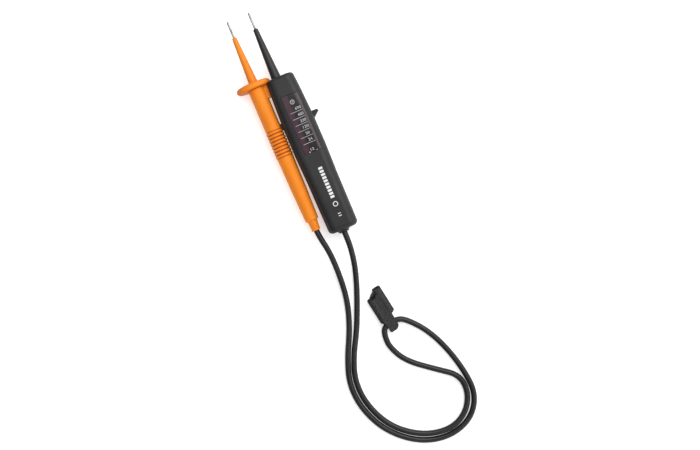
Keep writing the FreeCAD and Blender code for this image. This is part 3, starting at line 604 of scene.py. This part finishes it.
def weighted(thing):
    """Let large faces set the shading, so that flats stay flat beside small rounds."""
    thing.modifiers.new("normals", "WEIGHTED_NORMAL")
    return thing


CORNER_SHARE = 0.45           # the most of an edge that one rounded corner may take
CORNER_STEPS = 4


def soften(profile, reach, closed=False):
    """Round each corner of a profile with a short curve that starts reach away from it."""
    spots = [Vector((radius, y)) for radius, y in profile]
    count = len(spots)
    out = [] if closed else [spots[0]]
    for index in range(0 if closed else 1, count if closed else count - 1):
        before = spots[index - 1]
        corner = spots[index]
        after = spots[(index + 1) % count]
        start, end = [
            corner + (other - corner) * min(reach / (other - corner).length, CORNER_SHARE)
            for other in (before, after)]
        for step in range(CORNER_STEPS + 1):
            share = step / CORNER_STEPS
            out.append(start.lerp(corner, share).lerp(corner.lerp(end, share), share))
    if not closed:
        out.append(spots[-1])
    return [tuple(spot) for spot in out]


def dress(thing, look, body, *nodes, slot=None):
    """Material, body and the CAD nodes that the piece stands for. The slot argument is not used."""
    thing.data.materials.append(MATERIALS[look])
    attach(thing, body)
    if nodes:
        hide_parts(*nodes)
    return thing


ABOVE = 0.1                   # a height clear of the whole object


class Surface:
    """The top side of a CAD node, for laying print on it."""

    def __init__(self, node):
        mesh = frame["nodes"][node].data
        corners = [vertex.co for vertex in mesh.vertices]
        self.tree = BVHTree.FromPolygons(corners, [face.vertices for face in mesh.polygons])

    def level(self, x, y):
        hit = self.tree.ray_cast(Vector((x, y, ABOVE)), Vector((0, 0, -1)))[0]
        return None if hit is None else hit.z


# ---------------------------------------------------------------- the second probe

GRIP_RINGS, RING_PITCH = 8, 2.9 * MM
WALL_SUNK, VALLEY_SUNK = 0.5 * MM, 0.75 * MM    # how far these lie under the rings' crests
BARREL_BORE = 4.0 * MM


def grip_barrel():
    """Barrel with rounded grip rings and a long taper to its foot."""
    low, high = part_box("lance_barrel")
    crest = (high.x - low.x) / 2
    wall = crest - WALL_SUNK
    valley = crest - VALLEY_SUNK
    # Radius and place along the probe, from its head down over the rings and back up the bore.
    outer = [(4.62 * MM, high.y), (wall, high.y), (wall, 1.0 * MM)]
    for index in range(GRIP_RINGS):
        top = -RING_PITCH * index
        outer += [(valley, top), (crest, top - 0.4 * MM), (crest, top - 1.7 * MM),
                  (valley, top - 2.1 * MM)]
    outer += [(wall, -23.6 * MM), (wall - 0.2 * MM, -34 * MM), (wall - 0.4 * MM, -50 * MM),
              (wall - 0.9 * MM, -67 * MM), (5.65 * MM, low.y + 0.8 * MM), (4.85 * MM, low.y),
              (BARREL_BORE, low.y), (BARREL_BORE, -58 * MM)]
    profile = soften(outer, reach=0.35 * MM, closed=True)
    barrel = lathe("grip_barrel", profile, LANCE_X, MID_Z, sides=96, closed=True)
    dress(barrel, "grip", "lance", "lance_barrel", slot="lance_plastic")


SLEEVE_PLAY = 0.02 * MM       # gap between the cord and a sleeve round it


def end_sleeve():
    """Tapered sleeve where the cord enters the second probe, with a bead at its mouth."""
    low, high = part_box("lance_end_sleeve")
    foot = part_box("lance_barrel")[0].y
    bore = CORD_DIAMETER / 2 + SLEEVE_PLAY
    plug = BARREL_BORE - 0.05 * MM
    profile = [
        (bore, low.y), (3.35 * MM, low.y), (3.8 * MM, low.y + 0.5 * MM),
        (3.8 * MM, low.y + 1.3 * MM), (3.62 * MM, low.y + 1.8 * MM),
        (4.15 * MM, foot - 0.4 * MM), (4.15 * MM, foot + 0.05 * MM),
        (plug, foot + 0.05 * MM), (plug, high.y), (bore, high.y),
    ]
    profile = soften(profile, reach=0.3 * MM, closed=True)
    sleeve = lathe("end_sleeve", profile, LANCE_X, MID_Z, sides=64, closed=True)
    dress(sleeve, "orange", "lance", "lance_end_sleeve", slot="lance_plastic")


TIP_BARE, TIP_SHANK = 14.7 * MM, 0.6 * MM


def steel_tip(node, x, body):
    """Nickelled tip with a thinner shank in the plastic and a rounded point."""
    low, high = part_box(node)
    radius = (high.x - low.x) / 2
    wall = TIP_END - TIP_BARE
    profile = [(0, low.y), (TIP_SHANK, low.y), (TIP_SHANK, wall), (radius, wall + 0.1 * MM),
               (radius, high.y - 1.6 * MM), (radius * 0.5, high.y - 0.25 * MM), (0, high.y)]
    tip = lathe(node + "_turned", soften(profile, reach=0.25 * MM), x, MID_Z, sides=40)
    dress(tip, "steel", body, node, slot="test_tips")


# ---------------------------------------------------------------- display and print

LENS_COLUMNS, LENS_ROWS = 30, 90
LENS_ROLL, LENS_DROP = 0.35 * MM, 0.06 * MM    # width and depth of the rounded rim
RIM_NUDGE = 0.05              # share of the way to the middle, for points just off the window


def lens():
    """Display window as wide as its film, with rounded rims."""
    surface = Surface("display_window")
    low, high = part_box("scale_film")
    bm = bmesh.new()
    grid = []
    for row in range(LENS_ROWS + 1):
        line = []
        for column in range(LENS_COLUMNS + 1):
            x = low.x + (high.x - low.x) * column / LENS_COLUMNS
            y = low.y + (high.y - low.y) * row / LENS_ROWS
            edge = min(x - low.x, high.x - x, y - low.y, high.y - y)
            drop = LENS_DROP * max(0.0, 1 - edge / LENS_ROLL) ** 2
            level = surface.level(x, y) or surface.level(x + (HANDLE_X - x) * RIM_NUDGE, y)
            line.append(bm.verts.new((x, y, level - drop)))
        grid.append(line)
    for first, second in zip(grid, grid[1:]):
        for column in range(LENS_COLUMNS):
            bm.faces.new((first[column], first[column + 1], second[column + 1], second[column]))
    rim = [edge for edge in bm.edges if edge.is_boundary]
    skirt = bmesh.ops.extrude_edge_only(bm, edges=rim)
    for item in skirt["geom"]:
        if isinstance(item, bmesh.types.BMVert):
            item.co.z = high.z
    bottom = [edge for edge in bm.edges if edge.is_boundary]
    bmesh.ops.contextual_create(bm, geom=bottom)
    dress(finish_mesh("display_lens", bm), "lens", "tester", "display_window",
          slot="display_window")


INK, INK_LIFT = 0.03 * MM, 0.01 * MM    # thickness of the print and its gap to the surface


def settle(thing, surfaces):
    """Lay a flat piece down on the surfaces, keeping its own thickness."""
    for vertex in thing.data.vertices:
        levels = [surface.level(vertex.co.x, vertex.co.y) for surface in surfaces]
        level = max(value for value in levels if value is not None)
        vertex.co.z += level + INK_LIFT
    return thing


def slab(bm, x0, x1, y0, y1, steps=1):
    """A thin ink bar between two corners, as closed plates that stand side by side."""
    for step in range(steps):
        left = x0 + (x1 - x0) * step / steps
        right = x0 + (x1 - x0) * (step + 1) / steps
        corners = [(left, y0), (right, y0), (right, y1), (left, y1)]
        prism(bm, corners)


def prism(bm, corners):
    """A thin closed plate with this outline."""
    low = [bm.verts.new((x, y, 0)) for x, y in corners]
    high = [bm.verts.new((x, y, INK)) for x, y in corners]
    join_rings(bm, low, high)
    bm.faces.new(low[::-1])
    bm.faces.new(high)


def ring_plate(bm, outer, inner):
    """A thin flat ring between two outlines with as many corners each."""
    loops = []
    for corners, level in ((outer, 0), (outer, INK), (inner, INK), (inner, 0)):
        loops.append([bm.verts.new((x, y, level)) for x, y in corners])
    for first, second in zip(loops, loops[1:] + loops[:1]):
        join_rings(bm, first, second)


def circle(x, y, radius, count=24):
    return [(x + radius * math.cos(math.tau * index / count),
             y + radius * math.sin(math.tau * index / count)) for index in range(count)]


NUMBER_HEIGHT = 2.3 * MM
NUMBER_WEIGHT = 0.012         # how far the figures are thickened, in the font's own unit


def number(text, x, y, width):
    """A number as thin raised ink, its middle at x, y."""
    curve = bpy.data.curves.new("number_" + text, "FONT")
    curve.body = text
    curve.align_x = "CENTER"
    curve.align_y = "CENTER"
    curve.extrude = INK / 2
    curve.offset = NUMBER_WEIGHT
    holder = bpy.data.objects.new("number_" + text, curve)
    bpy.context.scene.collection.objects.link(holder)
    mesh = bpy.data.meshes.new_from_object(holder)
    bpy.data.objects.remove(holder)
    spread = [[vertex.co[axis] for vertex in mesh.vertices] for axis in (0, 1)]
    wide, tall = [max(values) - min(values) for values in spread]
    centre = [(max(values) + min(values)) / 2 for values in spread]
    for vertex in mesh.vertices:
        vertex.co.x = x + (vertex.co.x - centre[0]) * width / wide
        vertex.co.y = y + (vertex.co.y - centre[1]) * NUMBER_HEIGHT / tall
        vertex.co.z += INK / 2
    thing = bpy.data.objects.new("scale_number_" + text, mesh)
    bpy.context.scene.collection.objects.link(thing)
    return thing


TICK_ROWS = [6.7, 1.1, -4.35, -9.8, -15.25, -20.75]    # in millimetres along the handle
NUMBERS = ["690", "400", "230", "120", "50", "24"]
TICK_LEFT, TICK_RIGHT, TICK_HALF, TICK_CUTS = 5.9 * MM, 16.4 * MM, 0.17 * MM, 12
NUMBER_RISE = 2.55            # millimetres from a tick to the middle of its number
NUMBER_SIZES = {3: (13.55 * MM, 5.0 * MM), 2: (12.9 * MM, 3.4 * MM)}    # digits: middle, width
LAST_NUMBER = ("12", 11.2 * MM, -26.4 * MM, 2.9 * MM)
SIGN = (11.05 * MM, 15.2 * MM)
SIGN_OUTER, SIGN_INNER, SIGN_DOT = 1.9 * MM, 1.35 * MM, 0.5 * MM
FOOT_DOT, FOOT_DOT_RADIUS = (8.3 * MM, -28.2 * MM), 0.55 * MM
FOOT_WEDGE = [(13.9 * MM, -28.6 * MM), (15.2 * MM, -28.6 * MM), (14.55 * MM, -27.7 * MM)]
DOT_SIDES = 16


def scale_print():
    """Tick lines, numbers and small marks, printed on the window."""
    surfaces = [Surface("display_window"), Surface("handle_front_shell")]
    bm = bmesh.new()
    for row in TICK_ROWS:
        slab(bm, TICK_LEFT, TICK_RIGHT, row * MM - TICK_HALF, row * MM + TICK_HALF, TICK_CUTS)
    ring_plate(bm, circle(*SIGN, SIGN_OUTER), circle(*SIGN, SIGN_INNER))
    prism(bm, circle(*SIGN, SIGN_DOT, DOT_SIDES))
    prism(bm, circle(*FOOT_DOT, FOOT_DOT_RADIUS, DOT_SIDES))
    prism(bm, FOOT_WEDGE)
    ticks = settle(finish_mesh("scale_ticks", bm, smooth=False), surfaces)
    dress(ticks, "print", "tester")
    for text, row in zip(NUMBERS, TICK_ROWS):
        x, width = NUMBER_SIZES[len(text)]
        figure = number(text, x, (row + NUMBER_RISE) * MM, width)
        dress(settle(figure, surfaces), "print", "tester")
    dress(settle(number(*LAST_NUMBER), surfaces), "print", "tester")


BARS, BAR_FIRST, BAR_PITCH, BAR_TALL = 10, -42.5, 2.8, 1.9 * MM    # first and pitch in millimetres
BAR_LEFT, BAR_RIGHT = 9.2 * MM, 12.6 * MM
MARK_RING, MARK_OUTER, MARK_INNER = (10.9 * MM, -75.0 * MM), 2.2 * MM, 1.5 * MM
STROKE_LEFT, STROKE_RIGHT = 9.5 * MM, 12.0 * MM
STROKES = [(-85.6 * MM, -84.9 * MM), (-83.6 * MM, -82.9 * MM)]


def plain_marks():
    """Blank bars and a ring where the photograph shows lettering on the handle."""
    surfaces = [Surface("handle_front_shell")]
    bm = bmesh.new()
    for index in range(BARS):
        top = (BAR_FIRST - BAR_PITCH * index) * MM
        slab(bm, BAR_LEFT, BAR_RIGHT, top - BAR_TALL, top)
    ring_plate(bm, circle(*MARK_RING, MARK_OUTER), circle(*MARK_RING, MARK_INNER))
    for low, high in STROKES:
        slab(bm, STROKE_LEFT, STROKE_RIGHT, low, high)
    marks = settle(finish_mesh("handle_marks", bm, smooth=False), surfaces)
    dress(marks, "ink", "tester")


# ---------------------------------------------------------------- handle details

def gland():
    """Tapered strain relief with two raised rings, where the cord leaves the handle."""
    low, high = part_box("handle_gland")
    x = (low.x + high.x) / 2
    foot = HANDLE_FOOT
    neck, collar = 3.9 * MM, 5.2 * MM
    bore = CORD_DIAMETER / 2 + SLEEVE_PLAY
    profile = [
        (bore, low.y), (4.0 * MM, low.y), (4.5 * MM, foot - 1.3 * MM), (4.1 * MM, foot - 1.1 * MM),
        (4.7 * MM, foot - 0.9 * MM), (5.4 * MM, foot - 0.3 * MM), (5.4 * MM, foot + 0.02 * MM),
        (neck, foot + 0.02 * MM), (neck, foot + 3 * MM), (collar, foot + 3 * MM),
        (collar, high.y), (bore, high.y),
    ]
    profile = soften(profile, reach=0.2 * MM, closed=True)
    sleeve = lathe("cord_gland", profile, x, MID_Z, sides=64, closed=True)
    dress(sleeve, "nose", "tester", "handle_gland", slot="gland")


SCREW_NECK, THREAD_DEPTH, THREAD_TURNS = 1.2 * MM, 0.2 * MM, 9
SCREW_SIDES = 48
HEAD_TALL, SCREW_POINT = 1.4 * MM, 1.0 * MM
CROSS_REACH, CROSS_HALF = 1.25 * MM, 0.34 * MM              # arms of the recess, at its rim
PIT_REACH, PIT_HALF, PIT_DEPTH = 1.0 * MM, 0.26 * MM, 0.9 * MM    # and at its floor


def screw_spots():
    """Middle and radius of each loose group in the case screws' mesh, five groups to a screw."""
    bm = bmesh.new()
    bm.from_mesh(frame["nodes"]["case_screws"].data)
    spots = []
    left = set(bm.verts)
    while left:
        group, queue = [], [left.pop()]
        while queue:
            vertex = queue.pop()
            group.append(vertex.co.copy())
            for edge in vertex.link_edges:
                other = edge.other_vert(vertex)
                if other in left:
                    left.remove(other)
                    queue.append(other)
        ends = [(min(co[axis] for co in group), max(co[axis] for co in group)) for axis in (0, 1)]
        spots.append([(low + high) / 2 for low, high in ends] + [(ends[0][1] - ends[0][0]) / 2])
    bm.free()
    return sorted(spots)


def cross_outline(x, y, reach, half):
    """Twelve corners of a cross recess."""
    arms = [(half, half), (reach, half), (reach, -half), (half, -half), (half, -reach),
            (-half, -reach), (-half, -half), (-reach, -half), (-reach, half), (-half, half),
            (-half, reach), (half, reach)]
    return [(x + across, y + along) for across, along in arms]


def screw_head(bm, x, y, radius, low, high):
    """A domed head, seen from below, with a sunk cross."""
    rings = []
    # From the neck over the head's underside and flank to the edge of its flat top.
    for reach, level in ((SCREW_NECK, high), (radius, high), (radius, low + 0.5 * MM),
                         (radius - 0.15 * MM, low + 0.2 * MM), (radius - 0.5 * MM, low)):
        ring = [bm.verts.new((*spot, level)) for spot in circle(x, y, reach, SCREW_SIDES)]
        rings.append(ring)
    for first, second in zip(rings, rings[1:]):
        join_rings(bm, first, second)
    rim = [bm.verts.new((*spot, low)) for spot in cross_outline(x, y, CROSS_REACH, CROSS_HALF)]
    pit = [bm.verts.new((*spot, low + PIT_DEPTH))
           for spot in cross_outline(x, y, PIT_REACH, PIT_HALF)]
    join_rings(bm, rim, pit)
    bm.faces.new(pit)
    edges = []
    for loop in (rings[-1], rim):
        for index, vertex in enumerate(loop):
            after = loop[(index + 1) % len(loop)]
            edges.append(bm.edges.get((vertex, after)) or bm.edges.new((vertex, after)))
    bmesh.ops.triangle_fill(bm, edges=edges, use_beauty=True)
    return rings[0]


def screws():
    """Case screws with cross recesses, put in from the back: a copy for each group found."""
    low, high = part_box("case_screws")
    bm = bmesh.new()
    seat = low.z + HEAD_TALL
    pitch = (high.z - SCREW_POINT - seat) / THREAD_TURNS
    for x, y, radius in screw_spots():
        last = screw_head(bm, x, y, radius, low.z, seat)
        for turn in range(THREAD_TURNS):
            level = seat + pitch * (turn + 0.5)
            thread = SCREW_NECK if turn % 2 else SCREW_NECK - THREAD_DEPTH
            ring = [bm.verts.new((*spot, level)) for spot in circle(x, y, thread, SCREW_SIDES)]
            join_rings(bm, last, ring)
            last = ring
        point = bm.verts.new((x, y, high.z))
        join_rings(bm, last, [point])
    thing = finish_mesh("shell_screws", bm, smooth=False)
    dress(thing, "zinc", "tester", "case_screws", slot="screws")


SEAM_LIFT, SEAM_HALF = 0.02 * MM, 0.14 * MM    # how far the band stands out, and half its height
SEAM_STEPS, SEAM_STEP, SEAM_FIRST = 272, 0.48 * MM, 4.5 * MM
SEAM_START = 0.06             # start of the rays, clear of the handle's flanks
SHELLS_PART = 0.3 * MM        # the band stops where the two shells are further apart than this
SEAM_JUMP = 0.5 * MM          # and where it would jump further than this
SEAM_NEAREST = 9 * MM         # and nearer to the handle's middle than this


def seam():
    """Parting line between the two shells: a fine dark band on both flanks."""
    trees = [Surface(name).tree for name in ("handle_front_shell", "handle_rear_shell")]
    levels = (MID_Z + SEAM_HALF, MID_Z - SEAM_HALF)
    bm = bmesh.new()
    for side in (-1, 1):
        last = None
        for step in range(SEAM_STEPS):
            y = HANDLE_FOOT + SEAM_FIRST + step * SEAM_STEP
            hits = [tree.ray_cast(Vector((HANDLE_X + side * SEAM_START, y, level)),
                                  Vector((-side, 0, 0)))[0]
                    for tree, level in zip(trees, levels)]
            if None in hits or abs(hits[0].x - hits[1].x) > SHELLS_PART:
                last = None
                continue
            x = max(hit.x * side for hit in hits) * side
            if abs(x - HANDLE_X) < SEAM_NEAREST:
                last = None
                continue
            outer, inner = x + side * SEAM_LIFT, x - side * SEAM_LIFT
            ring = [bm.verts.new(corner) for corner in (
                (outer, y, levels[0]), (outer, y, levels[1]),
                (inner, y, levels[1]), (inner, y, levels[0]))]
            if last is not None and abs(last[0].co.x - ring[0].co.x) < SEAM_JUMP:
                join_rings(bm, last, ring)
            last = ring
    loose = [vertex for vertex in bm.verts if not vertex.link_faces]
    bmesh.ops.delete(bm, geom=loose, context="VERTS")
    bmesh.ops.holes_fill(bm, edges=[edge for edge in bm.edges if edge.is_boundary], sides=4)
    dress(finish_mesh("shell_seam", bm, smooth=False), "seam", "tester")


# ---------------------------------------------------------------- tip cap

def ease(value):
    """Smooth step from 0 to 1."""
    value = min(max(value, 0.0), 1.0)
    return value * value * (3 - 2 * value)


CAP_TUBE, TUBE_SPREAD = 3.85 * MM, 4.05 * MM    # a tube's radius, and its axis from the middle
TUBE_FADE = 0.4 * MM
MOUTH_SLOPE, MOUTH_BED = 0.38, 2.2 * MM         # the slant, and how far below the axis it starts
LONG_MOUTH, LONG_REACH = 31.9 * MM, 6 * MM      # along the cap from the eye
SHORT_MOUTH, SHORT_REACH = 26.2 * MM, 5 * MM
LONG_SIDE, SHORT_END = 0.3 * MM, 27 * MM        # beyond either of these lies the longer tube
CORNER, CORNER_SQUEEZE = 28.5 * MM, 0.5         # plate past the corner is drawn back by half
SKIN_VOXEL, SKIN_ROUNDS = 0.22 * MM, 7
SKIN_COARSE, SKIN_FINE, SKIN_DEPTH = (1100, 0.5), (2300, 0.3), 0.06 * MM    # scale and share


def slant_mouth(spot, middle_x, mouth, reach):
    """Pull the top of a tube's mouth back, so that its opening shows from above."""
    inside = ease((CAP_TUBE + TUBE_FADE - abs(spot.x - middle_x)) / TUBE_FADE)
    share = ease((spot.y - mouth + reach) / reach) * inside
    return spot.y - MOUTH_SLOPE * max(0, spot.z + MOUTH_BED) * share


def soft_cap():
    """The cap's CAD shape with every edge rounded, slanted mouths and a coarse skin."""
    rough = bpy.data.objects.new("cap_rough", frame["nodes"]["tip_cap"].data.copy())
    bpy.context.scene.collection.objects.link(rough)
    remesh = rough.modifiers.new("remesh", "REMESH")
    remesh.mode = "VOXEL"
    remesh.voxel_size = SKIN_VOXEL
    smooth = rough.modifiers.new("smooth", "SMOOTH")
    smooth.factor = 0.5
    smooth.iterations = SKIN_ROUNDS
    graph = bpy.context.evaluated_depsgraph_get()
    mesh = bpy.data.meshes.new_from_object(rough.evaluated_get(graph))
    bpy.data.objects.remove(rough)
    turn = Matrix.Rotation(CAP_TURN, 3, "Z")
    back = turn.transposed()
    spots = [(vertex.co.copy(), vertex.normal.copy()) for vertex in mesh.vertices]
    for vertex, (place, normal) in zip(mesh.vertices, spots):
        spot = back @ (place - CAP_EYE)
        if spot.x > LONG_SIDE or spot.y > SHORT_END:
            spot.y = slant_mouth(spot, TUBE_SPREAD, LONG_MOUTH, LONG_REACH)
        else:
            spot.y = slant_mouth(spot, -TUBE_SPREAD, SHORT_MOUTH, SHORT_REACH)
        outside = (math.hypot(spot.x - TUBE_SPREAD, spot.z) - CAP_TUBE) / MM
        if outside > 0 and spot.y > CORNER:
            spot.y -= (spot.y - CORNER) * CORNER_SQUEEZE * ease(outside)
        grain = sum(noise.noise(spot * scale) * share for scale, share in (SKIN_COARSE, SKIN_FINE))
        vertex.co = turn @ spot + CAP_EYE + normal * grain * SKIN_DEPTH
    mesh.materials.clear()
    thing = bpy.data.objects.new("soft_cap", mesh)
    bpy.context.scene.collection.objects.link(thing)
    for face in mesh.polygons:
        face.use_smooth = True
    dress(thing, "cap", "cap", "tip_cap", slot="cap_plastic")


# ---------------------------------------------------------------- the whole scene

camera()
lights()
floor()
MATERIALS = {name: make() for name, make in LOOKS.items()}
dress_nodes()
cord()
grip_barrel()
end_sleeve()
steel_tip("main_test_tip", NOSE_X, "tester")
steel_tip("lance_test_tip", LANCE_X, "lance")
lens()
scale_print()
plain_marks()
gland()
screws()
seam()
soft_cap()
